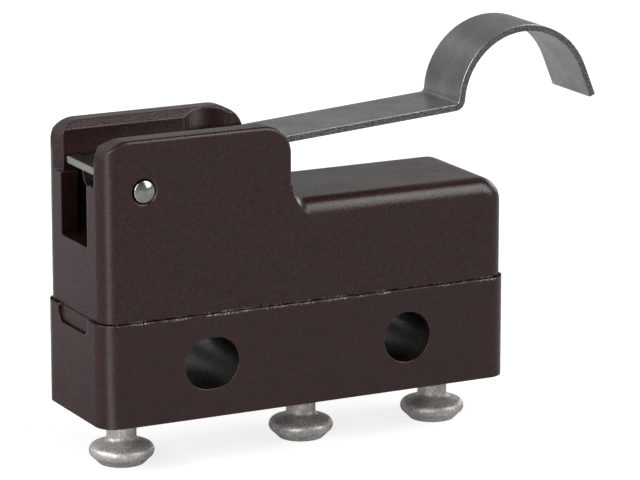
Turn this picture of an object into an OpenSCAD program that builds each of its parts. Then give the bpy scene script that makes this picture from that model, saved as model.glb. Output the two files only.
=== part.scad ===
// Subminiature snap-action switch with a pivoted lever that ends in a simulated roller.
// Origin: centre of the round mounting hole on the middle plane.
// +X runs from the pivot end to the roller end, +Z from the terminals to the lever. Millimetres.

/* [Base] */
// Length of the base
base_l = 19.8; // [19:0.1:24]
// Width of the base across its two mounting faces
base_w = 6.35; // [5.9:0.05:8]
// Height of the base from its underside to the seam
base_h = 4.58; // [4.2:0.02:6]
// Radius of the upright corners
corner_r = 0.9; // [0.5:0.05:1]
// Height of the plinth that stands inside the cover
plinth_h = 0.5; // [0.3:0.05:0.8]

/* [Mounting holes] */
// Distance between the two mounting holes
hole_pitch = 9.525; // [9:0.005:10.5]
// Diameter of the round hole and height of the slotted one
hole_d = 2.29; // [1.8:0.01:2.6]
// How much longer than its height the slotted hole is
slot_play = 0.31; // [0.1:0.01:0.6]
// Height of the hole centres above the underside
hole_h = 2.41; // [2:0.01:2.8]

/* [Cover] */
// Step from the base's outline in to the cover's
cover_inset = 0.13; // [0.05:0.01:0.2]
// Thickness of the outer walls round the mechanism
wall = 0.95; // [0.7:0.05:1]
// Thickness of the roof over the mechanism
roof_t = 1; // [0.7:0.05:1.2]
// Height of the low section above the seam
low_h = 4.5; // [4.2:0.01:5]
// Radius of the low section's upper end, seen from the side
low_end_r = 1.09; // [1:0.01:1.4]
// Width of the key at each end of the cover
key_w = 3.1; // [2:0.1:4]
// Depth of the keys below the seam
key_h = 0.72; // [0.5:0.02:1]
// Radius of the keys' lower corners
key_r = 0.45; // [0.1:0.05:0.5]

/* [Tower] */
// Height of the tower above the seam
tower_h = 7.93; // [7.4:0.01:9.5]
// Length of the tower
tower_l = 8.95; // [8.4:0.01:9.6]
// Radius of the two upper corners, seen from the side
tower_r = 1.28; // [0.8:0.02:1.6]
// Radius of the hollow where the step wall meets the low section
step_r = 0.95; // [0.4:0.05:1.1]
// Radius along the tower's outer top edges
edge_r = 0.18; // [0.05:0.01:0.3]
// Size of the chamfer along the channel's mouth
mouth_chamfer = 0.33; // [0.1:0.01:0.5]
// Width of each ledge below the lever's tail
ledge_w = 0.42; // [0.2:0.02:0.6]
// Length of the ledges, from the open end
ledge_l = 0.8; // [0.6:0.05:0.95]
// Diameter of the round well over the plunger
well_d = 4.2; // [4:0.05:4.6]

/* [Pivot pin] */
// Diameter of the pin
pin_d = 0.95; // [0.7:0.01:1.1]
// Distance from the cover's open end to the pin
pin_x = 1.945; // [1.8:0.005:2.4]
// Depth of the pin below the tower's top
pin_drop = 2.24; // [2:0.01:2.5]
// How far each domed end stands out of the wall
pin_dome = 0.14; // [0.05:0.01:0.2]
// Width of the broken edge round each pin end
pin_mouth = 0.12; // [0.05:0.01:0.2]

/* [Lever] */
// Width of the lever's strip
lever_w = 3.3; // [2.9:0.05:3.5]
// Thickness of the sheet
lever_t = 0.29; // [0.2:0.01:0.4]
// Height of the strip's underside above the pin
strip_lift = 0.12; // [0.05:0.01:0.2]
// Angle at which the free lever rises, in degrees
lever_angle = 4.07; // [2:0.01:6]
// Length of the tail behind the pin
lever_tail = 1.46; // [1.3:0.01:1.6]
// Distance from the pin to the bend below the loop
lever_reach = 15.9; // [13:0.1:24]
// Inner radius of that bend
bend_r = 0.2; // [0.1:0.05:0.5]
// Angle through which the strip turns up, in degrees
bend_angle = 82; // [70:1:95]
// Outer radius of the loop
loop_r = 3.34; // [2.5:0.02:5]
// Angle that the loop sweeps through, in degrees
loop_sweep = 154; // [120:1:170]
// Length of the straight end of the loop
loop_leg = 1.5; // [0.5:0.1:2.5]
// Radius of the two ears round the pin
ear_r = 0.9; // [0.8:0.05:1]
// Outer radius of the folds above the ears
ear_fold_r = 0.5; // [0.45:0.01:0.7]

/* [Plunger] */
// Distance from the pin to the plunger's axis
plunger_arm = 5.225; // [4.9:0.005:5.5]
// Diameter of the plunger's stem
plunger_d = 2; // [1.6:0.05:2.2]
// Radius of its domed top
plunger_dome_r = 3; // [2:0.1:5]
// Diameter of the flange that keeps it in
flange_d = 2.9; // [2.6:0.05:3.2]
// Thickness of the flange
flange_t = 0.29; // [0.2:0.01:0.5]
// Wall of the guide round the stem
guide_wall = 0.45; // [0.3:0.05:0.55]
// Travel of the plunger from free to fully pressed
plunger_travel = 0.55; // [0.4:0.01:0.6]
// How far the guide's rim stays below the pressed lever
guide_drop = 0.75; // [0.4:0.05:1]

/* [Terminals] */
// Distance from the base's pivot end to the common terminal
common_end = 2.23; // [1.8:0.01:2.5]
// Distance from the base's far end to the last terminal
far_end = 2.13; // [2.05:0.01:2.4]
// Distance between the two terminals of the fixed contacts
pair_pitch = 6.67; // [6:0.01:7]
// Diameter of a terminal's neck
neck_d = 1.32; // [1.1:0.02:1.5]
// Length of the neck below the base
neck_l = 1.4; // [0.8:0.02:2]
// Diameter of a terminal's head
head_d = 2.88; // [2.6:0.02:3.1]
// Height of the head
head_h = 1.05; // [1:0.01:1.4]
// Radius of the fillet between neck and head
neck_fillet = 0.32; // [0.1:0.02:0.36]
// Fall of the head's shoulder from the neck to the rim
shoulder_fall = 0.19; // [0.1:0.01:0.24]
// Radius of the head's rim
rim_r = 0.31; // [0.2:0.01:0.34]
// Diameter of the flat under the head
foot_d = 2.02; // [1.6:0.02:2.1]
// Diameter of the tenon that a strip is staked on
tenon_d = 0.8; // [0.6:0.02:0.95]
// Diameter of the staked head over a strip
stake_d = 1.3; // [1.1:0.05:1.4]
// Height of the staked head
stake_h = 0.3; // [0.2:0.02:0.4]
// Gap between the staked head and the spring's post
stake_gap = 0.15; // [0.1:0.01:0.3]

/* [Contacts] */
// Thickness of the contact strips
strip_t = 0.25; // [0.2:0.01:0.3]
// Width of the contact strips
strip_w = 2.1; // [1.8:0.05:2.6]
// How far a strip reaches past its terminal's axis
strip_end = 0.9; // [0.85:0.01:1]
// Distance from the last terminal back to the contacts
contact_back = 2.32; // [2:0.02:2.6]
// Diameter of the contacts
contact_d = 1.3; // [1:0.05:1.6]
// Height of a fixed contact
contact_h = 0.3; // [0.2:0.01:0.4]
// Height of each head of the moving contact
moving_h = 0.25; // [0.2:0.01:0.3]
// Diameter of the moving contact's shank
shank_d = 0.6; // [0.4:0.02:0.7]
// Open gap below the moving contact
contact_gap = 0.35; // [0.25:0.01:0.45]

/* [Snap spring] */
// Thickness of the spring
blade_t = 0.12; // [0.08:0.01:0.16]
// Width of the spring
spring_w = 2.6; // [2.4:0.05:2.8]
// Width of the tongue between the two bowed legs
tongue_w = 1.1; // [0.9:0.05:1.2]
// Width of the slots beside the tongue
spring_slot = 0.2; // [0.1:0.02:0.25]
// Length of the solid pad that carries the moving contact
pad_l = 2.65; // [2.2:0.05:3]
// Width of the pad's rim beyond the contact
pad_rim = 0.2; // [0.1:0.02:0.3]
// Length over which the legs run in under the pad
leg_root = 0.3; // [0.2:0.02:0.6]
// Fall of the bowed legs from the pad to the anchor
leg_fall = 0.75; // [0.5:0.05:0.8]
// Distance from the common terminal to the anchor's horns
horn_x = 3; // [2.5:0.05:3.3]
// Width of the post that holds the tongue's end
post_w = 0.6; // [0.4:0.02:0.7]

/* [Fits] */
// Gap between the lever and each channel wall
lever_side_gap = 0.15; // [0.08:0.01:0.2]
// Running clearance round a turning or sliding piece
run_gap = 0.03; // [0.02:0.005:0.05]
// Clearance round a seated piece
seat_gap = 0.01; // [0.005:0.005:0.02]
// Gap where one moving piece meets another at rest
touch_gap = 0.02; // [0.015:0.005:0.04]
// Gap between the lever's tail and the ledges below it
tail_gap = 0.33; // [0.2:0.01:0.5]
// Clearance round the keys at the ends of the cover
key_gap = 0.03; // [0.02:0.005:0.05]
// Clearance between the cover and what stands inside it
cover_gap = 0.05; // [0.03:0.01:0.08]

/* [Hidden] */
$fn = 64;

// Colours
housing_colour = [0.23, 0.17, 0.16];
steel_colour = [0.45, 0.45, 0.43];
tin_colour = [0.72, 0.72, 0.70];
brass_colour = [0.78, 0.62, 0.32];
silver_colour = [0.85, 0.85, 0.86];
plunger_colour = [0.16, 0.13, 0.12];

// A margin by which cuts pass through a face
through = 1;
// How far a straight edge ends inside the round that it runs into
tuck = 0.01;

// Ends of the base and the cover
base_mid = -hole_pitch / 2;
base_left = base_mid - base_l / 2;
base_right = base_mid + base_l / 2;
cover_left = base_left + cover_inset;
cover_right = base_right - cover_inset;
cover_w = base_w - 2 * cover_inset;
cover_r = corner_r - cover_inset;
cavity_w = cover_w - 2 * wall;
cavity_left = cover_left + wall;
cavity_right = cover_right - wall;

// Heights of the housing
underside = -hole_h;
seam = underside + base_h;
plinth_top = seam + plinth_h;
low_top = seam + low_h;
tower_top = seam + tower_h;

// Heights of the contact stack, from the plinth up
strip_top = plinth_top + strip_t;
open_contact_top = strip_top + contact_h;
moving_bottom = open_contact_top + contact_gap;
blade_bottom = moving_bottom + moving_h;
blade_top = blade_bottom + blade_t;
moving_top = blade_top + moving_h;
closed_contact_bottom = moving_top + touch_gap;
closed_strip_bottom = closed_contact_bottom + contact_h;

// Heights of the plunger, the ceiling over it and the channel's floor
flange_bottom = blade_top + touch_gap;
tower_ceiling = flange_bottom + flange_t + touch_gap;
channel_floor = tower_ceiling + roof_t;
low_ceiling = low_top - roof_t;

// The pin, the lever above it and the plunger below it
pin_at = [cover_left + pin_x, tower_top - pin_drop];
strip_under = pin_d / 2 + strip_lift;
plunger_x = pin_at[0] + plunger_arm;
plunger_top = pin_at[1] + strip_under / cos(lever_angle) + plunger_arm * tan(lever_angle) - run_gap;
guide_top = plunger_top - plunger_travel - guide_drop;
ledge_top = pin_at[1] + strip_under * cos(lever_angle) - lever_tail * sin(lever_angle) - tail_gap;

// The channel, its corner centres and the well
channel_w = lever_w + 2 * lever_side_gap;
corner_z = tower_top - tower_r;
left_corner_x = cover_left + tower_r;
tower_right = cover_left + tower_l;
right_corner_x = tower_right - tower_r;
well_right = plunger_x + well_d / 2;

// Places along the mechanism
common_x = base_left + common_end;
closed_x = base_right - far_end;
open_x = closed_x - pair_pitch;
contact_x = closed_x - contact_back;
pad_right = contact_x + contact_d / 2 + pad_rim;
pad_left = pad_right - pad_l;
horn_face = common_x + horn_x;
post_x = common_x + stake_d / 2 + stake_gap;
closed_back = cavity_right - cover_gap;
leg_run = pad_left + leg_root - horn_face - touch_gap;
leg_radius = (leg_run * leg_run + leg_fall * leg_fall) / (2 * leg_fall);
leg_w = (spring_w - tongue_w) / 2 - spring_slot;

// Shared shapes

module rounded_rect(x0, x1, w, r) {
    for (x = [x0 + r, x1 - r], y = [r - w / 2, w / 2 - r])
        translate([x, y]) circle(r);
    translate([x0 + r, -w / 2]) square([x1 - x0 - 2 * r, w]);
    translate([x0, r - w / 2]) square([x1 - x0, w - 2 * r]);
}

// A bar's section, square below and rounded along its two upper edges
module rounded_top(w, z0, z1, r) {
    translate([-w / 2, z0]) square([w, z1 - z0 - r]);
    translate([r - w / 2, z0]) square([w - 2 * r, z1 - z0]);
    for (y = [r - w / 2, w / 2 - r])
        translate([y, z1 - r]) circle(r);
}

// Extrudes a side view across the width, centred on the middle plane
module across(w) {
    rotate([90, 0, 0]) linear_extrude(w, center = true) children();
}

// Extrudes an end view from x0 to x1
module along(x0, x1) {
    translate([x0, 0, 0]) rotate([90, 0, 90]) linear_extrude(x1 - x0) children();
}

module box(x0, x1, w, z0, z1) {
    translate([x0, -w / 2, z0]) cube([x1 - x0, w, z1 - z0]);
}

// Housing

module key_shape(grow) {
    w = key_w + 2 * grow;
    bottom = seam - key_h - grow;
    for (y = [key_r - w / 2, w / 2 - key_r])
        translate([y, bottom + key_r]) circle(key_r);
    translate([key_r - w / 2, bottom]) square([w - 2 * key_r, key_h + 2 * grow]);
    translate([-w / 2, bottom + key_r]) square([w, key_h - key_r + 2 * grow]);
}

module base() color(housing_colour) difference() {
    union() {
        translate([0, 0, underside]) linear_extrude(base_h)
            rounded_rect(base_left, base_right, base_w, corner_r);
        box(cavity_left + cover_gap, cavity_right - cover_gap, cavity_w - 2 * cover_gap, seam, plinth_top);
    }
    rotate([90, 0, 0]) cylinder(d = hole_d, h = base_w + 2 * through, center = true);
    across(base_w + 2 * through) translate([-hole_pitch, 0]) {
        for (side = [-1, 1])
            translate([side * slot_play / 2, 0]) circle(d = hole_d);
        square([slot_play, hole_d], center = true);
    }
    for (x = [common_x, open_x, closed_x])
        translate([x, 0, underside - through])
            cylinder(d = neck_d + 2 * seat_gap, h = base_h + plinth_h + 2 * through);
    along(base_left - through, cavity_left + seat_gap) key_shape(key_gap);
    along(cavity_right - seat_gap, base_right + through) key_shape(key_gap);
}

// A round corner about an axis across the cover, with its two rims rounded as well
module round_corner(x, z, r, rim) {
    translate([x, 0, z]) rotate([90, 0, 0]) rotate_extrude() intersection() {
        translate([0, -cover_w / 2]) square([r, cover_w]);
        union() {
            translate([0, rim - cover_w / 2]) square([r, cover_w - 2 * rim]);
            translate([0, -cover_w / 2]) square([r - rim, cover_w]);
            for (y = [rim - cover_w / 2, cover_w / 2 - rim])
                translate([r - rim, y]) circle(rim);
        }
    }
}

module tower_block() {
    intersection() {
        union() {
            translate([0, 0, seam]) linear_extrude(corner_z - seam)
                rounded_rect(cover_left, tower_right, cover_w, edge_r);
            along(left_corner_x, right_corner_x) rounded_top(cover_w, seam, tower_top, edge_r);
            round_corner(left_corner_x, corner_z, tower_r, edge_r);
            round_corner(right_corner_x, corner_z, tower_r, edge_r);
        }
        translate([0, 0, seam]) linear_extrude(tower_h)
            rounded_rect(cover_left, cover_right, cover_w, cover_r);
    }
}

// The low section, whose long edges are carried round its upper end and down it
module low_block() {
    end_x = cover_right - low_end_r;
    end_z = low_top - low_end_r;
    along(right_corner_x, end_x) rounded_top(cover_w, seam, low_top, cover_r);
    translate([0, 0, seam]) linear_extrude(end_z - seam)
        rounded_rect(left_corner_x, cover_right, cover_w, cover_r);
    round_corner(end_x, end_z, low_end_r, cover_r);
}

// The hollow round from the step wall into the low section, carried over the long edges
module step_hollow() {
    axis_z = low_top - cover_r;
    reach = cover_r + step_r;
    intersection() {
        union() {
            across(cover_w - 2 * cover_r) translate([tower_right, axis_z]) difference() {
                translate([-edge_r, 0]) square([step_r + edge_r, reach]);
                translate([step_r, reach]) circle(step_r + tuck);
            }
            for (y = [cover_r - cover_w / 2, cover_w / 2 - cover_r])
                translate([tower_right, y, axis_z]) rotate([0, 90, 0]) rotate_extrude() difference() {
                    translate([0, -edge_r]) square([reach, step_r + edge_r]);
                    translate([reach, step_r]) circle(step_r + tuck);
                }
        }
        box(tower_right - edge_r, tower_right + step_r, cover_w, axis_z, low_top + step_r);
    }
}

// The open channel that the lever lies in, with its ledges, chamfered mouth and round well
module channel() {
    slot_w = channel_w - 2 * ledge_w;
    mouth_w = channel_w + 2 * mouth_chamfer;
    box(cover_left - through, plunger_x, slot_w, channel_floor, tower_top);
    box(cover_left + ledge_l, plunger_x, channel_w, channel_floor, tower_top);
    box(cover_left - through, plunger_x, channel_w, ledge_top, tower_top + through);
    box(plunger_x, tower_right + 2 * through, channel_w, low_top, tower_top + through);
    translate([0, 0, ledge_top]) linear_extrude(tower_top - ledge_top + through) polygon([
        [cover_left - through, -mouth_w / 2 - through],
        [cover_left + mouth_chamfer, -channel_w / 2],
        [cover_left + mouth_chamfer, channel_w / 2],
        [cover_left - through, mouth_w / 2 + through]
    ]);
    along(cover_left - through, tower_right + through) polygon([
        [-channel_w / 2, tower_top - mouth_chamfer],
        [channel_w / 2, tower_top - mouth_chamfer],
        [mouth_w / 2, tower_top],
        [mouth_w / 2, tower_top + through],
        [-mouth_w / 2, tower_top + through],
        [-mouth_w / 2, tower_top]
    ]);
    translate([plunger_x, 0, channel_floor]) cylinder(d = well_d, h = tower_top - channel_floor + through);
}

module pin_hole() {
    hole = pin_d + 2 * seat_gap;
    translate([pin_at[0], 0, pin_at[1]]) rotate([90, 0, 0]) {
        cylinder(d = hole, h = cover_w + 2 * through, center = true);
        for (side = [-1, 1])
            translate([0, 0, side * cover_w / 2]) cylinder(
                d1 = hole + 2 * pin_mouth * (1 - side),
                d2 = hole + 2 * pin_mouth * (1 + side),
                h = 2 * pin_mouth, center = true);
    }
}

module cover() color(housing_colour) difference() {
    union() {
        difference() {
            union() {
                tower_block();
                low_block();
                step_hollow();
            }
            channel();
        }
        translate([plunger_x, 0, channel_floor - roof_t / 2])
            cylinder(d = plunger_d + 2 * (run_gap + guide_wall), h = guide_top - channel_floor + roof_t / 2);
        along(cover_left, cavity_left) key_shape(0);
        along(cavity_right, cover_right) key_shape(0);
    }
    box(cavity_left, cavity_right, cavity_w, seam - key_h - through, tower_ceiling);
    box(well_right + wall, cavity_right, cavity_w, seam, low_ceiling);
    translate([plunger_x, 0, seam]) cylinder(d = plunger_d + 2 * run_gap, h = guide_top - seam + through);
    pin_hole();
}

// Lever and what it works

// The part of a bent strip, seen from the side, that lies in the shape given
module bent_strip(outer) {
    intersection() {
        difference() {
            circle(outer);
            circle(outer - lever_t);
        }
        children();
    }
}

// The flat strip, the bend up and the open loop. Each bend is drawn in two overlapping parts, so that
// each part meets its straight neighbour on an axis of its own frame.
module lever_side_view() {
    top = strip_under + lever_t;
    bend_out = bend_r + lever_t;
    translate([-lever_tail, strip_under]) square([lever_tail + lever_reach, lever_t]);
    translate([lever_reach, top + bend_r]) {
        bent_strip(bend_out)
            polygon(bend_out * [[0, 0], [0, -1], [1, -1], [1, -1 / 2]]);
        rotate(bend_angle - 90) {
            bent_strip(bend_out)
                polygon(bend_out * [[0, 0], [1, 0], [1, -1]]);
            translate([bend_r + loop_r, 0]) {
                bent_strip(loop_r)
                    translate([-loop_r, 0]) square(loop_r);
                rotate(180 - loop_sweep) {
                    bent_strip(loop_r)
                        square(loop_r);
                    translate([loop_r - lever_t, -loop_leg]) square([lever_t, loop_leg]);
                }
            }
        }
    }
}

// The two ears, folded down from the strip's edges
module ears() {
    top = strip_under + lever_t;
    fold_in = ear_fold_r - lever_t;
    inner_w = lever_w - 2 * lever_t;
    intersection() {
        difference() {
            along(-ear_r, ear_r) rounded_top(lever_w, -ear_r, top, ear_fold_r);
            along(-ear_r - through, ear_r + through)
                rounded_top(inner_w, -ear_r - through, strip_under, fold_in);
        }
        across(lever_w) {
            circle(ear_r);
            translate([-ear_r, 0]) square([2 * ear_r, top]);
        }
    }
}

module lever() color(steel_colour)
    translate([pin_at[0], 0, pin_at[1]]) rotate([0, -lever_angle, 0]) difference() {
        union() {
            difference() {
                across(lever_w) lever_side_view();
                box(-ear_r, ear_r, lever_w + through, 0, strip_under + lever_t + through);
            }
            ears();
        }
        rotate([90, 0, 0]) cylinder(d = pin_d + 2 * run_gap, h = lever_w + through, center = true);
    }

module pivot_pin() color(tin_colour) translate([pin_at[0], 0, pin_at[1]]) rotate([90, 0, 0])
    rotate_extrude() intersection() {
        dome_r = (pin_d * pin_d / 4 + pin_dome * pin_dome) / (2 * pin_dome);
        dome_y = cover_w / 2 + pin_dome - dome_r;
        translate([0, -cover_w / 2 - pin_dome]) square([pin_d / 2, cover_w + 2 * pin_dome]);
        union() {
            translate([0, -dome_y]) square([pin_d / 2, 2 * dome_y]);
            for (y = [-dome_y, dome_y])
                translate([0, y]) circle(dome_r);
        }
    }

module plunger() color(plunger_colour) translate([plunger_x, 0, 0]) rotate_extrude() {
    intersection() {
        translate([0, flange_bottom]) square([plunger_d / 2, plunger_top - flange_bottom]);
        union() {
            translate([0, plunger_top - plunger_dome_r]) circle(plunger_dome_r);
            translate([0, flange_bottom]) square([plunger_d / 2, plunger_top - plunger_d - flange_bottom]);
        }
    }
    translate([0, flange_bottom]) square([flange_d / 2, flange_t]);
}

// Terminals and contacts

// A turned terminal: flat-footed head, neck, shank through the base, tenon and staked head
module terminal(x) {
    neck_r = neck_d / 2;
    shoulder = underside - neck_l;
    foot = [foot_d / 2, shoulder - head_h];
    rim = [head_d / 2 - rim_r, shoulder - shoulder_fall - rim_r];
    slope = atan(shoulder_fall / (rim[0] - neck_r));
    side = atan2(foot[1] - rim[1], foot[0] - rim[0]) + acos(rim_r / norm(foot - rim));
    fillet = [neck_r + neck_fillet, shoulder + neck_fillet * (1 - sin(slope)) / cos(slope)];
    translate([x, 0, 0]) {
        rotate_extrude() polygon([
            [0, shoulder], [neck_r, shoulder], rim + (rim_r - tuck) * [sin(slope), cos(slope)],
            rim + (rim_r - tuck) * [cos(side), sin(side)], foot, [0, foot[1]]
        ]);
        rotate_extrude() translate(rim) circle(rim_r);
        rotate_extrude() difference() {
            polygon([
                [tenon_d / 2, fillet[1]], fillet, fillet - neck_fillet * [sin(slope), cos(slope)],
                [tenon_d / 2, shoulder - shoulder_fall]
            ]);
            translate(fillet) circle(neck_fillet + tuck);
        }
        translate([0, 0, shoulder - tuck]) cylinder(r = neck_r, h = plinth_top - shoulder + tuck);
        translate([0, 0, plinth_top - tuck]) cylinder(d = tenon_d, h = strip_t + 2 * tuck);
        translate([0, 0, strip_top]) cylinder(d = stake_d, h = stake_h);
    }
}

module common_terminal() color(tin_colour) terminal(common_x);
module normally_open_terminal() color(tin_colour) terminal(open_x);
module normally_closed_terminal() color(tin_colour) terminal(closed_x);

// A flat strip on the plinth, from x0 to x1, with the hole for its terminal's tenon
module staked_strip(x0, x1, terminal_x) {
    difference() {
        box(x0, x1, strip_w, plinth_top, strip_top);
        translate([terminal_x, 0, plinth_top - through])
            cylinder(d = tenon_d + 2 * seat_gap, h = strip_t + 2 * through);
    }
}

// The common strip, with a post for the tongue and two notched horns for the bowed legs
module common_anchor() color(brass_colour) {
    leg_z = blade_bottom - leg_fall;
    staked_strip(common_x - strip_end, horn_face, common_x);
    box(post_x, post_x + strip_t, post_w, plinth_top, blade_top + blade_t);
    for (side = [-1, 1])
        translate([0, side * (spring_w - leg_w) / 2, 0]) difference() {
            box(horn_face - strip_t, horn_face, leg_w, plinth_top, leg_z + 2 * blade_t);
            across(spring_w) polygon([
                [horn_face - strip_t / 3, leg_z],
                [horn_face + through, leg_z - blade_t / 2 - through],
                [horn_face + through, leg_z + blade_t / 2 + through]
            ]);
        }
}

module normally_open_strip() color(brass_colour)
    staked_strip(open_x - strip_end, contact_x + contact_d / 2 + strip_t, open_x);

module normally_closed_strip() color(brass_colour) {
    front = contact_x - contact_d / 2 - strip_t;
    arm_top = closed_strip_bottom + strip_t;
    staked_strip(closed_x - strip_end, closed_back, closed_x);
    box(closed_back - strip_t, closed_back, strip_w, plinth_top, arm_top);
    box(front, closed_back, strip_w, closed_strip_bottom, arm_top);
}

module normally_open_contact() color(silver_colour)
    translate([contact_x, 0, strip_top]) cylinder(d = contact_d, h = contact_h);

module normally_closed_contact() color(silver_colour)
    translate([contact_x, 0, closed_contact_bottom]) cylinder(d = contact_d, h = contact_h);

module moving_contact() color(silver_colour) translate([contact_x, 0, 0]) {
    translate([0, 0, moving_bottom]) cylinder(d = contact_d, h = moving_h - seat_gap);
    translate([0, 0, blade_top + seat_gap]) cylinder(d = contact_d, h = moving_h - seat_gap);
    translate([0, 0, moving_bottom]) cylinder(d = shank_d, h = moving_top - moving_bottom);
}

// One flat blade: a pad at the contact, a straight tongue to the post and two bowed legs
module snap_spring() color(brass_colour) {
    difference() {
        union() {
            box(pad_left, pad_right, spring_w, blade_bottom, blade_top);
            box(post_x - strip_t, pad_left + leg_root, tongue_w, blade_bottom, blade_top);
        }
        translate([contact_x, 0, blade_bottom - through])
            cylinder(d = shank_d + 2 * seat_gap, h = blade_t + 2 * through);
        box(post_x - seat_gap, post_x + strip_t + seat_gap, post_w + 2 * seat_gap,
            blade_bottom - through, blade_top + through);
    }
    for (side = [-1, 1])
        translate([0, side * (spring_w - leg_w) / 2, 0]) across(leg_w) intersection() {
            translate([pad_left + leg_root, blade_bottom - leg_radius]) difference() {
                circle(leg_radius + blade_t / 2, $fn = 720);
                circle(leg_radius - blade_t / 2, $fn = 720);
            }
            translate([horn_face + touch_gap, blade_bottom - leg_fall - through])
                square([leg_run, leg_fall + blade_t + through]);
        }
}

base();
cover();
lever();
pivot_pin();
plunger();
common_terminal();
normally_open_terminal();
normally_closed_terminal();
common_anchor();
normally_open_strip();
normally_closed_strip();
normally_open_contact();
normally_closed_contact();
moving_contact();
snap_spring();
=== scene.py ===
"""Looks, light and camera for the snap-action switch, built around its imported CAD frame. Metres."""
import math

import bmesh
import bpy
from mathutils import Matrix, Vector


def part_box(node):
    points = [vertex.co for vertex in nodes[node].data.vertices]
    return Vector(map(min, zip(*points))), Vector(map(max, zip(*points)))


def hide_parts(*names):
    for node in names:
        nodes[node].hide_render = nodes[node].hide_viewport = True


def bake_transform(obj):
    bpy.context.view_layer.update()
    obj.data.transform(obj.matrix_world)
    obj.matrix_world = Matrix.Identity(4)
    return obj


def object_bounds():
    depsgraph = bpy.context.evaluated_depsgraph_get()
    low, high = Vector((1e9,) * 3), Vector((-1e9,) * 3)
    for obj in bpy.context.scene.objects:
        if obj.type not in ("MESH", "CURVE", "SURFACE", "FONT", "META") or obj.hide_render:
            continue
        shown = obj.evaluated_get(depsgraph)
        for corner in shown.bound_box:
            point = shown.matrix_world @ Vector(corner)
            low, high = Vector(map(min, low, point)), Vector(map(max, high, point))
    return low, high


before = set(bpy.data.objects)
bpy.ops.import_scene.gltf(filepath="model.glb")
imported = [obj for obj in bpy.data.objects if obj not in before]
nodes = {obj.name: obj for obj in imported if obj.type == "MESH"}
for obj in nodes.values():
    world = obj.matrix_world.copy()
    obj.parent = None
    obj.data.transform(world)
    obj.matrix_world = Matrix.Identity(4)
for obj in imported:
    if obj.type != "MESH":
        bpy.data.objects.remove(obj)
size_at_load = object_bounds()

MM_PER_METRE = 1000

# The camera, as fitted to the photo
AZIMUTH, ELEVATION = -27.131, 13.707
TARGET = Vector((-0.002664, 0.00006, 0.003995))
DISTANCE = 0.173565
LENS_MM, SENSOR_MM = 220.33, 36.0

# Places that the looks refer to: the housing's seam, the floor, the lever's ears and its end at the pin
SEAM_Z = 0.00217
FLOOR_Z = size_at_load[0][2]
EAR_Z = 0.0082
TAIL_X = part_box("lever")[0].x

# Walls of a moulded piece that stand closer than this darken each other with painted shade
HOLLOW_REACH = 0.004

# Stretches into which the bending part of the snap spring is cut
SPRING_CUTS = 12

# The sweep's glow turns about this point of it, and the paper gives off this much light to the camera alone
GLOW_X, GLOW_Y = -0.008, -0.006
PAPER_WHITE = 0.78

LAMP_DISTANCE = 0.45


def direction(azimuth, elevation):
    """The way from the object towards a viewer or lamp at these angles."""
    a, e = math.radians(azimuth), math.radians(elevation)
    return Vector((math.sin(a) * math.cos(e), -math.cos(a) * math.cos(e), math.sin(e)))


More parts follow.
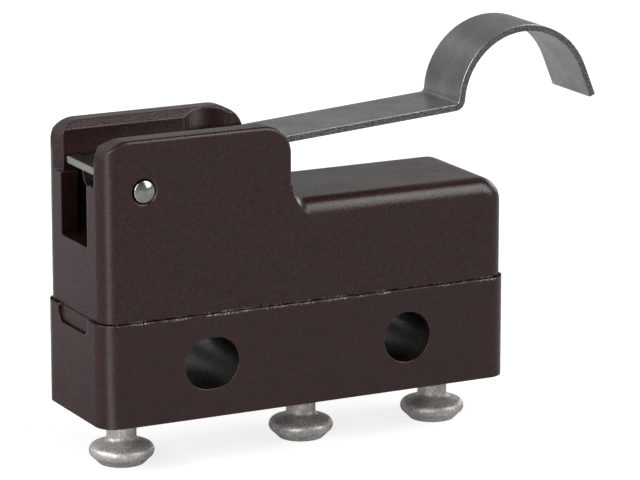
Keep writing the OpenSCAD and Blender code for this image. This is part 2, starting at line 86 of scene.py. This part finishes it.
class Graph:
    """A material's node tree, with short calls to add nodes and links."""

    def __init__(self, name):
        self.material = bpy.data.materials.new(name)
        self.material.use_nodes = True
        self.tree = self.material.node_tree
        self.tree.nodes.clear()
        self.shader = self.add("ShaderNodeBsdfPrincipled")
        output = self.add("ShaderNodeOutputMaterial")
        self.link((self.shader, "BSDF"), (output, "Surface"))
        self.coords = self.add("ShaderNodeTexCoord")

    def add(self, kind, inputs=None, **settings):
        node = self.tree.nodes.new(kind)
        for key, value in settings.items():
            setattr(node, key, value)
        for key, value in (inputs or {}).items():
            node.inputs[key].default_value = value
        return node

    def link(self, source, target):
        """Links an output to an input; each is a (node, socket) pair."""
        self.tree.links.new(source[0].outputs[source[1]], target[0].inputs[target[1]])

    def drive(self, socket, source):
        """Links an output to a socket of the shader."""
        self.link(source, (self.shader, socket))

    def place(self, scale, offset=(0, 0, 0)):
        """Object coordinates in metres, times a scale for each axis, plus an offset."""
        node = self.add("ShaderNodeMapping", {"Location": offset, "Scale": scale})
        self.link((self.coords, "Object"), (node, "Vector"))
        return node, "Vector"

    def axis(self, source, name):
        """One component of a vector."""
        node = self.add("ShaderNodeSeparateXYZ")
        self.link(source, (node, "Vector"))
        return node, name

    def along(self, name, start, per_mm=1.0, lead=0.0):
        """Millimetres along an axis from a start in metres, times per_mm, plus a lead."""
        scale = [1, 1, 1]
        offset = [0, 0, 0]
        index = "XYZ".index(name)
        scale[index] = MM_PER_METRE * per_mm
        offset[index] = lead - scale[index] * start
        return self.axis(self.place(scale, offset), name)

    def noise(self, scale, detail=3.0, roughness=0.55):
        """Noise whose grain is about 1 / scale metres; a plain number stands for all three axes."""
        node = self.add("ShaderNodeTexNoise", {"Scale": 1.0, "Detail": detail, "Roughness": roughness})
        self.link(self.place(scale if isinstance(scale, tuple) else (scale,) * 3), (node, "Vector"))
        return node, "Fac"

    def ramp(self, source, stops):
        """A colour ramp; a plain number in the stops stands for a grey."""
        node = self.add("ShaderNodeValToRGB")
        elements = node.color_ramp.elements
        while len(elements) < len(stops):
            elements.new(0.5)
        for element, (position, value) in zip(elements, stops):
            element.position = position
            element.color = (*(value if isinstance(value, tuple) else (value,) * 3), 1.0)
        self.link(source, (node, "Fac"))
        return node, "Color"

    def mix(self, factor, first, second):
        """The first colour, going over to the second where the factor is white."""
        node = self.add("ShaderNodeMix", data_type="RGBA")
        self.link(factor, (node, 0))
        self.link(first, (node, 6))
        self.link(second, (node, 7))
        return node, 2

    def times(self, first, second):
        """The product of two colours."""
        node = self.add("ShaderNodeMix", {0: 1.0}, data_type="RGBA", blend_type="MULTIPLY")
        self.link(first, (node, 6))
        self.link(second, (node, 7))
        return node, 2

    def bump(self, source, strength, height, normal):
        node = self.add("ShaderNodeBump", {"Strength": strength, "Distance": height})
        self.link(source, (node, "Height"))
        self.link(normal, (node, "Normal"))
        return node, "Normal"

    def rounded_edges(self, radius):
        return self.add("ShaderNodeBevel", {"Radius": radius}, samples=8), "Normal"

    def edge_mask(self, bevel, width):
        """White where the rounded normal leaves the true one, which is along the edges."""
        geometry = self.add("ShaderNodeNewGeometry")
        turn = self.add("ShaderNodeVectorMath", operation="DOT_PRODUCT")
        self.link(bevel, (turn, 0))
        self.link((geometry, "True Normal"), (turn, 1))
        return self.ramp((turn, "Value"), [(width, 1.0), (1.0, 0.0)])

    def facing(self, name):
        """How far the surface faces along an axis, to either side."""
        node = self.add("ShaderNodeVectorMath", operation="ABSOLUTE")
        self.link((self.coords, "Normal"), (node, 0))
        return self.axis((node, "Vector"), name)

    def occlusion_shade(self, reach):
        """White on open faces, darker where other walls of the same piece stand within reach; a mask for
        painted shade.
        """
        node = self.add("ShaderNodeAmbientOcclusion", {"Distance": reach}, samples=8, only_local=True)
        return node, "AO"


def seam_masks(g):
    """Masks for the gap along the seam, darkened with painted shade, and for the specks of flash beside it on
    the broad faces.
    """
    height = g.along("Z", SEAM_Z, lead=0.5)
    gap = g.ramp(height, [(0.48, 0.0), (0.496, 1.0), (0.545, 1.0), (0.57, 0.0)])
    breaks = g.ramp(g.noise(3000, detail=4.0), [(0.36, 0.3), (0.54, 1.0)])
    rim = g.ramp(height, [(0.39, 0.0), (0.46, 1.0), (0.54, 1.0), (0.59, 0.0)])
    specks = g.ramp(g.noise(8500, detail=4.0, roughness=0.7), [(0.46, 0.0), (0.57, 1.0)])
    clumps = g.ramp(g.noise(1300, detail=4.0), [(0.42, 0.0), (0.56, 1.0)])
    broad = g.ramp(g.facing("Y"), [(0.93, 0.0), (0.99, 1.0)])
    return g.times(gap, breaks), g.times(g.times(rim, specks), g.times(clumps, broad))


def moulded(name, dark, light, edge_tone, roughness, flash=None):
    """A matte moulded plastic, mottled and speckled, with painted shade in its hollows and rubbed edges
    lightened further by a painted highlight, with a seam if flash has a colour.
    """
    g = Graph(name)
    mottle = g.noise(900, detail=6.0, roughness=0.65)
    speckle = g.noise(11000, detail=3.0, roughness=0.7)
    patches = g.noise(1500, detail=4.0)
    bevel = g.rounded_edges(radius=0.00008)
    pores = g.ramp(speckle, [(0.36, 0.3), (0.64, 1.0)])
    colour = g.times(g.ramp(mottle, [(0.3, dark), (0.72, light)]), pores)
    # Paler edges: partly rubbed, partly a painted highlight along the rounded edges
    edge_rub_and_highlight = g.times(g.edge_mask(bevel, width=0.86), g.ramp(patches, [(0.3, 0.15), (0.7, 0.8)]))
    bright_edge_tone = tuple(1.3 * channel for channel in edge_tone)
    colour = g.mix(edge_rub_and_highlight, colour, g.ramp(speckle, [(0.3, edge_tone), (0.7, bright_edge_tone)]))
    # Painted shade: the colour darkens in the hollows, holes and channels where the piece's own walls stand
    # close
    colour = g.times(colour, g.ramp(g.occlusion_shade(HOLLOW_REACH), [(0.3, 0.12), (0.97, 1.0)]))
    haze = g.ramp(g.noise(420, detail=5.0), [(0.3, roughness - 0.05), (0.7, roughness + 0.07)])
    dullness = g.times(haze, g.ramp(speckle, [(0.36, 1.0), (0.64, 0.8)]))
    if flash:
        gap, specks = seam_masks(g)
        # Painted shade: the seam's gap gets a near black colour
        gap_shade = g.ramp(speckle, [(0.3, (0.012, 0.006, 0.006)), (0.7, (0.03, 0.018, 0.018))])
        colour = g.mix(specks, g.mix(gap, colour, gap_shade), g.ramp(patches, [(0.35, edge_tone), (0.65, flash)]))
        dullness = g.mix(gap, dullness, g.ramp(speckle, [(0.3, 1.0), (0.7, 0.8)]))
        # A dark metal gives almost no reflection, as a gap does
        g.drive("Metallic", gap)
    g.drive("Base Color", colour)
    g.drive("Roughness", dullness)
    g.drive("Normal", g.bump(speckle, strength=0.5, height=0.000022, normal=bevel))
    return g.material


def metal(name, dark, light, roughness, grain_scale, grain_depth):
    """A bare metal whose grain runs across the axis with the largest scale."""
    g = Graph(name)
    g.shader.inputs["Metallic"].default_value = 1.0
    grain = g.noise(grain_scale, detail=5.0, roughness=0.6)
    blotch = g.ramp(g.noise(500, detail=5.0), [(0.3, 0.85), (0.7, 1.0)])
    g.drive("Base Color", g.times(g.ramp(grain, [(0.25, dark), (0.75, light)]), blotch))
    g.drive("Roughness", g.ramp(grain, [(0.25, roughness + 0.09), (0.75, roughness - 0.06)]))
    g.drive("Normal", g.bump(grain, strength=0.3, height=grain_depth, normal=g.rounded_edges(radius=0.00005)))
    return g.material


def sheet_steel(name):
    """Dull rolled sheet with painted shade near the pin: dark sheared sides, bright edges that are partly
    broken and partly a painted highlight, a freshly cut tail.
    """
    g = Graph(name)
    grain = g.noise(11000, detail=4.0, roughness=0.7)
    blotch = g.ramp(g.noise(650, detail=5.0), [(0.32, 0.7), (0.68, 1.0)])
    # Painted shade: the sheet darkens over its last few millimetres towards the tail, inside the channel
    shade_near_pin = g.ramp(g.along("X", TAIL_X, per_mm=0.25), [(0.25, 0.4), (0.9, 1.0)])
    rolled = g.ramp(grain, [(0.3, (0.32, 0.317, 0.302)), (0.7, (0.58, 0.575, 0.55))])
    face = g.times(g.times(rolled, blotch), shade_near_pin)
    sheared = g.ramp(grain, [(0.35, (0.06, 0.06, 0.055)), (0.65, (0.32, 0.32, 0.30))])
    side = g.ramp(g.facing("Y"), [(0.6, 0.0), (0.85, 1.0)])
    bevel = g.rounded_edges(radius=0.00005)
    # Bright edges above the ears: partly broken, partly a painted highlight where light catches the sheet's
    # thickness
    above_ears = g.ramp(g.along("Z", EAR_Z, lead=0.5), [(0.4, 0.0), (0.6, 1.0)])
    edge = g.times(g.edge_mask(bevel, width=0.8), g.ramp(grain, [(0.35, 0.3), (0.65, 1.0)]))
    bright = g.ramp(grain, [(0.3, (0.55, 0.55, 0.53)), (0.7, (0.8, 0.8, 0.77))])
    colour = g.mix(g.times(edge, above_ears), g.mix(side, face, sheared), bright)
    from_tail = g.along("X", TAIL_X)
    fresh = g.ramp(grain, [(0.3, (0.16, 0.16, 0.155)), (0.7, (0.32, 0.32, 0.31))])
    g.drive("Base Color", g.mix(g.ramp(from_tail, [(0.06, 1.0), (0.1, 0.0)]), colour, fresh))
    g.drive("Metallic", g.ramp(from_tail, [(0.06, 0.2), (0.1, 1.0)]))
    g.drive("Roughness", g.ramp(grain, [(0.25, 0.4), (0.75, 0.27)]))
    g.drive("Normal", g.bump(grain, strength=0.3, height=0.000005, normal=bevel))
    return g.material


def turned(name, centre_x):
    """Dull tinned metal with a fine grain and the faint rings that a lathe leaves."""
    g = Graph(name)
    g.shader.inputs["Metallic"].default_value = 0.5
    rings = g.add("ShaderNodeTexWave", wave_type="RINGS", rings_direction="Z",
                  inputs={"Scale": 2600.0, "Distortion": 2.5, "Detail": 3.0, "Detail Scale": 1.5})
    g.link(g.place((1, 1, 1), (-centre_x, 0, 0)), (rings, "Vector"))
    grain = g.noise(9000, detail=4.0, roughness=0.7)
    stain = g.ramp(g.noise((1400, 1400, 2600), detail=4.0), [(0.35, 0.76), (0.6, 1.0)])
    tone = g.times(g.ramp(grain, [(0.34, (0.42, 0.40, 0.375)), (0.66, (0.84, 0.81, 0.77))]),
                   g.ramp((rings, "Fac"), [(0.0, 0.8), (1.0, 1.0)]))
    g.drive("Base Color", g.times(tone, stain))
    g.drive("Roughness", g.ramp(grain, [(0.3, 0.52), (0.7, 0.36)]))
    g.drive("Normal", g.bump(grain, strength=0.35, height=0.000008, normal=g.rounded_edges(radius=0.00006)))
    return g.material


def dress(node_name, material):
    """Gives a CAD node one material."""
    slots = nodes[node_name].data.materials
    slots.clear()
    slots.append(material)


def dress_all():
    """Gives every CAD node its material."""
    housing = moulded("housing", dark=(0.030, 0.0104, 0.0094), light=(0.038, 0.0134, 0.0122),
                      edge_tone=(0.070, 0.048, 0.046), roughness=0.27, flash=(0.40, 0.35, 0.30))
    dress("base", housing)
    dress("cover", housing)
    dress("plunger", moulded("plunger", dark=(0.012, 0.009, 0.008), light=(0.022, 0.016, 0.014),
                             edge_tone=(0.05, 0.04, 0.035), roughness=0.4))
    dress("lever", sheet_steel("lever_steel"))
    dress("pivot_pin", metal("pin_steel", dark=(0.33, 0.325, 0.31), light=(0.62, 0.615, 0.59), roughness=0.15,
                             grain_scale=7000, grain_depth=0.000004))
    for terminal in ("common_terminal", "normally_open_terminal", "normally_closed_terminal"):
        low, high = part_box(terminal)
        dress(terminal, turned(terminal, centre_x=(low.x + high.x) / 2))
    brass = metal("contact_brass", dark=(0.55, 0.38, 0.15), light=(0.75, 0.56, 0.27), roughness=0.3,
                  grain_scale=(200, 7000, 200), grain_depth=0.000003)
    for node_name in ("common_anchor", "normally_open_strip", "normally_closed_strip"):
        dress(node_name, brass)
    silver = metal("contact_silver", dark=(0.70, 0.70, 0.69), light=(0.86, 0.86, 0.85), roughness=0.28,
                   grain_scale=3000, grain_depth=0.000003)
    for node_name in ("normally_open_contact", "normally_closed_contact", "moving_contact"):
        dress(node_name, silver)
    copper = metal("spring_copper", dark=(0.52, 0.29, 0.16), light=(0.70, 0.43, 0.26), roughness=0.28,
                   grain_scale=(200, 7000, 200), grain_depth=0.000003)
    dress("snap_spring", copper)


def bending_spring():
    """The snap spring, copied and cut across where its tongue bends, in place of the hidden CAD node."""
    mesh = nodes["snap_spring"].data.copy()
    post_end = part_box("snap_spring")[0]
    bend_end = Vector((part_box("plunger")[0].x, post_end.y, post_end.z))
    shape = bmesh.new()
    shape.from_mesh(mesh)
    for i in range(1, SPRING_CUTS):
        bmesh.ops.bisect_plane(shape, geom=shape.verts[:] + shape.edges[:] + shape.faces[:],
                               plane_co=post_end.lerp(bend_end, i / SPRING_CUTS), plane_no=(1, 0, 0))
    shape.to_mesh(mesh)
    shape.free()
    spring = bpy.data.objects.new("snap_spring_blade", mesh)
    bpy.context.collection.objects.link(spring)
    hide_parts("snap_spring")
    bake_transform(spring)


def paper():
    """White paper that takes the shadow, greyer on the left; only the camera and reflections see it glow."""
    g = Graph("paper")
    g.shader.inputs["Roughness"].default_value = 0.9
    g.shader.inputs["Emission Color"].default_value = (1.0, 1.0, 1.0, 1.0)
    # Turns round the object, counted from the camera's left
    around = g.add("ShaderNodeTexGradient", gradient_type="RADIAL")
    g.link(g.place((1, 1, 1), (-GLOW_X, -GLOW_Y, 0)), (around, "Vector"))
    fibre = g.ramp(g.noise(900, detail=4.0), [(0.3, 0.36), (0.7, 0.38)])
    shade = g.ramp((around, "Fac"), [(0.13, 0.65), (0.16, 1.0), (0.85, 1.0), (0.89, 0.65)])
    g.drive("Base Color", g.times(fibre, shade))
    # A pool at the front left for the housing's corner, the backdrop, and a pool behind left for the loop
    pools = g.ramp((around, "Fac"), [(0.0, 0.1), (0.14, 0.1), (0.165, 1.6), (0.195, 1.6), (0.22, 0.0),
                                     (0.5, 0.0), (0.58, 0.13), (0.82, 0.13),
                                     (0.845, 0.5), (0.865, 0.5), (0.885, 0.04), (1.0, 0.04)])
    rays = g.add("ShaderNodeLightPath")
    glow = g.add("ShaderNodeMath", operation="MULTIPLY")
    g.link(pools, (glow, 0))
    g.link((rays, "Is Glossy Ray"), (glow, 1))
    seen = g.add("ShaderNodeMath", {1: PAPER_WHITE}, operation="MULTIPLY_ADD")
    g.link((rays, "Is Camera Ray"), (seen, 0))
    g.link((glow, "Value"), (seen, 2))
    g.drive("Emission Strength", (seen, "Value"))
    return g.material


def sweep():
    """A floor that curves up into a backdrop behind the object, square to the camera."""
    half_width, front, depth, height = 1.2, 0.9, 0.55, 0.5
    radius, steps = 0.25, 12
    profile = [(-front, 0.0), (depth - radius, 0.0)]
    for i in range(1, steps + 1):
        t = math.radians(90 * i / steps)
        profile.append((depth - radius + radius * math.sin(t), radius - radius * math.cos(t)))
    profile.append((depth, height))
    vertices = [(x, y, FLOOR_Z + z) for y, z in profile for x in (-half_width, half_width)]
    faces = [(2 * i, 2 * i + 1, 2 * i + 3, 2 * i + 2) for i in range(len(profile) - 1)]
    mesh = bpy.data.meshes.new("sweep")
    mesh.from_pydata(vertices, [], faces)
    mesh.polygons.foreach_set("use_smooth", [True] * len(faces))
    mesh.materials.append(paper())
    obj = bpy.data.objects.new("sweep", mesh)
    bpy.context.collection.objects.link(obj)
    obj.rotation_euler = (0, 0, math.radians(AZIMUTH))


def aim(obj, azimuth, elevation, distance):
    """Stands a lamp or camera off at these angles, looks at the target and adds it to the scene."""
    back = direction(azimuth, elevation)
    obj.location = TARGET + back * distance
    obj.rotation_euler = back.to_track_quat("Z", "Y").to_euler()
    bpy.context.collection.objects.link(obj)


def lamp(name, azimuth, elevation, size, watts):
    """A soft box of the given width and height."""
    data = bpy.data.lights.new(name, "AREA")
    data.shape = "RECTANGLE"
    data.size, data.size_y = size
    data.energy = watts
    aim(bpy.data.objects.new(name, data), azimuth, elevation, LAMP_DISTANCE)


def studio_world():
    """A dim room: pale round the horizon and dark overhead."""
    world = bpy.data.worlds.new("studio")
    world.use_nodes = True
    tree = world.node_tree
    coords = tree.nodes.new("ShaderNodeTexCoord")
    height = tree.nodes.new("ShaderNodeSeparateXYZ")
    fade = tree.nodes.new("ShaderNodeValToRGB")
    horizon, overhead = fade.color_ramp.elements
    horizon.position = 0.1
    horizon.color = (0.26, 0.265, 0.275, 1.0)
    overhead.position = 0.8
    overhead.color = (0.05, 0.05, 0.052, 1.0)
    tree.links.new(coords.outputs["Generated"], height.inputs["Vector"])
    tree.links.new(height.outputs["Z"], fade.inputs["Fac"])
    tree.links.new(fade.outputs["Color"], tree.nodes["Background"].inputs["Color"])
    bpy.context.scene.world = world


def photo_camera():
    """The camera at the photo's place."""
    data = bpy.data.cameras.new("photo_camera")
    data.lens = LENS_MM
    data.sensor_width = SENSOR_MM
    data.clip_start = 0.01
    data.clip_end = 10.0
    camera = bpy.data.objects.new("photo_camera", data)
    aim(camera, AZIMUTH, ELEVATION, DISTANCE)
    bpy.context.scene.camera = camera


dress_all()
bending_spring()
sweep()
lamp("key", azimuth=-48, elevation=27, size=(0.24, 0.42), watts=1.5)
lamp("fill", azimuth=46, elevation=37, size=(0.24, 0.42), watts=1.4)
lamp("side", azimuth=-100, elevation=31, size=(0.24, 0.30), watts=1.5)
lamp("rear", azimuth=115, elevation=15, size=(0.24, 0.16), watts=0.35)
studio_world()
photo_camera()
bpy.context.scene.view_settings.view_transform = "Standard"
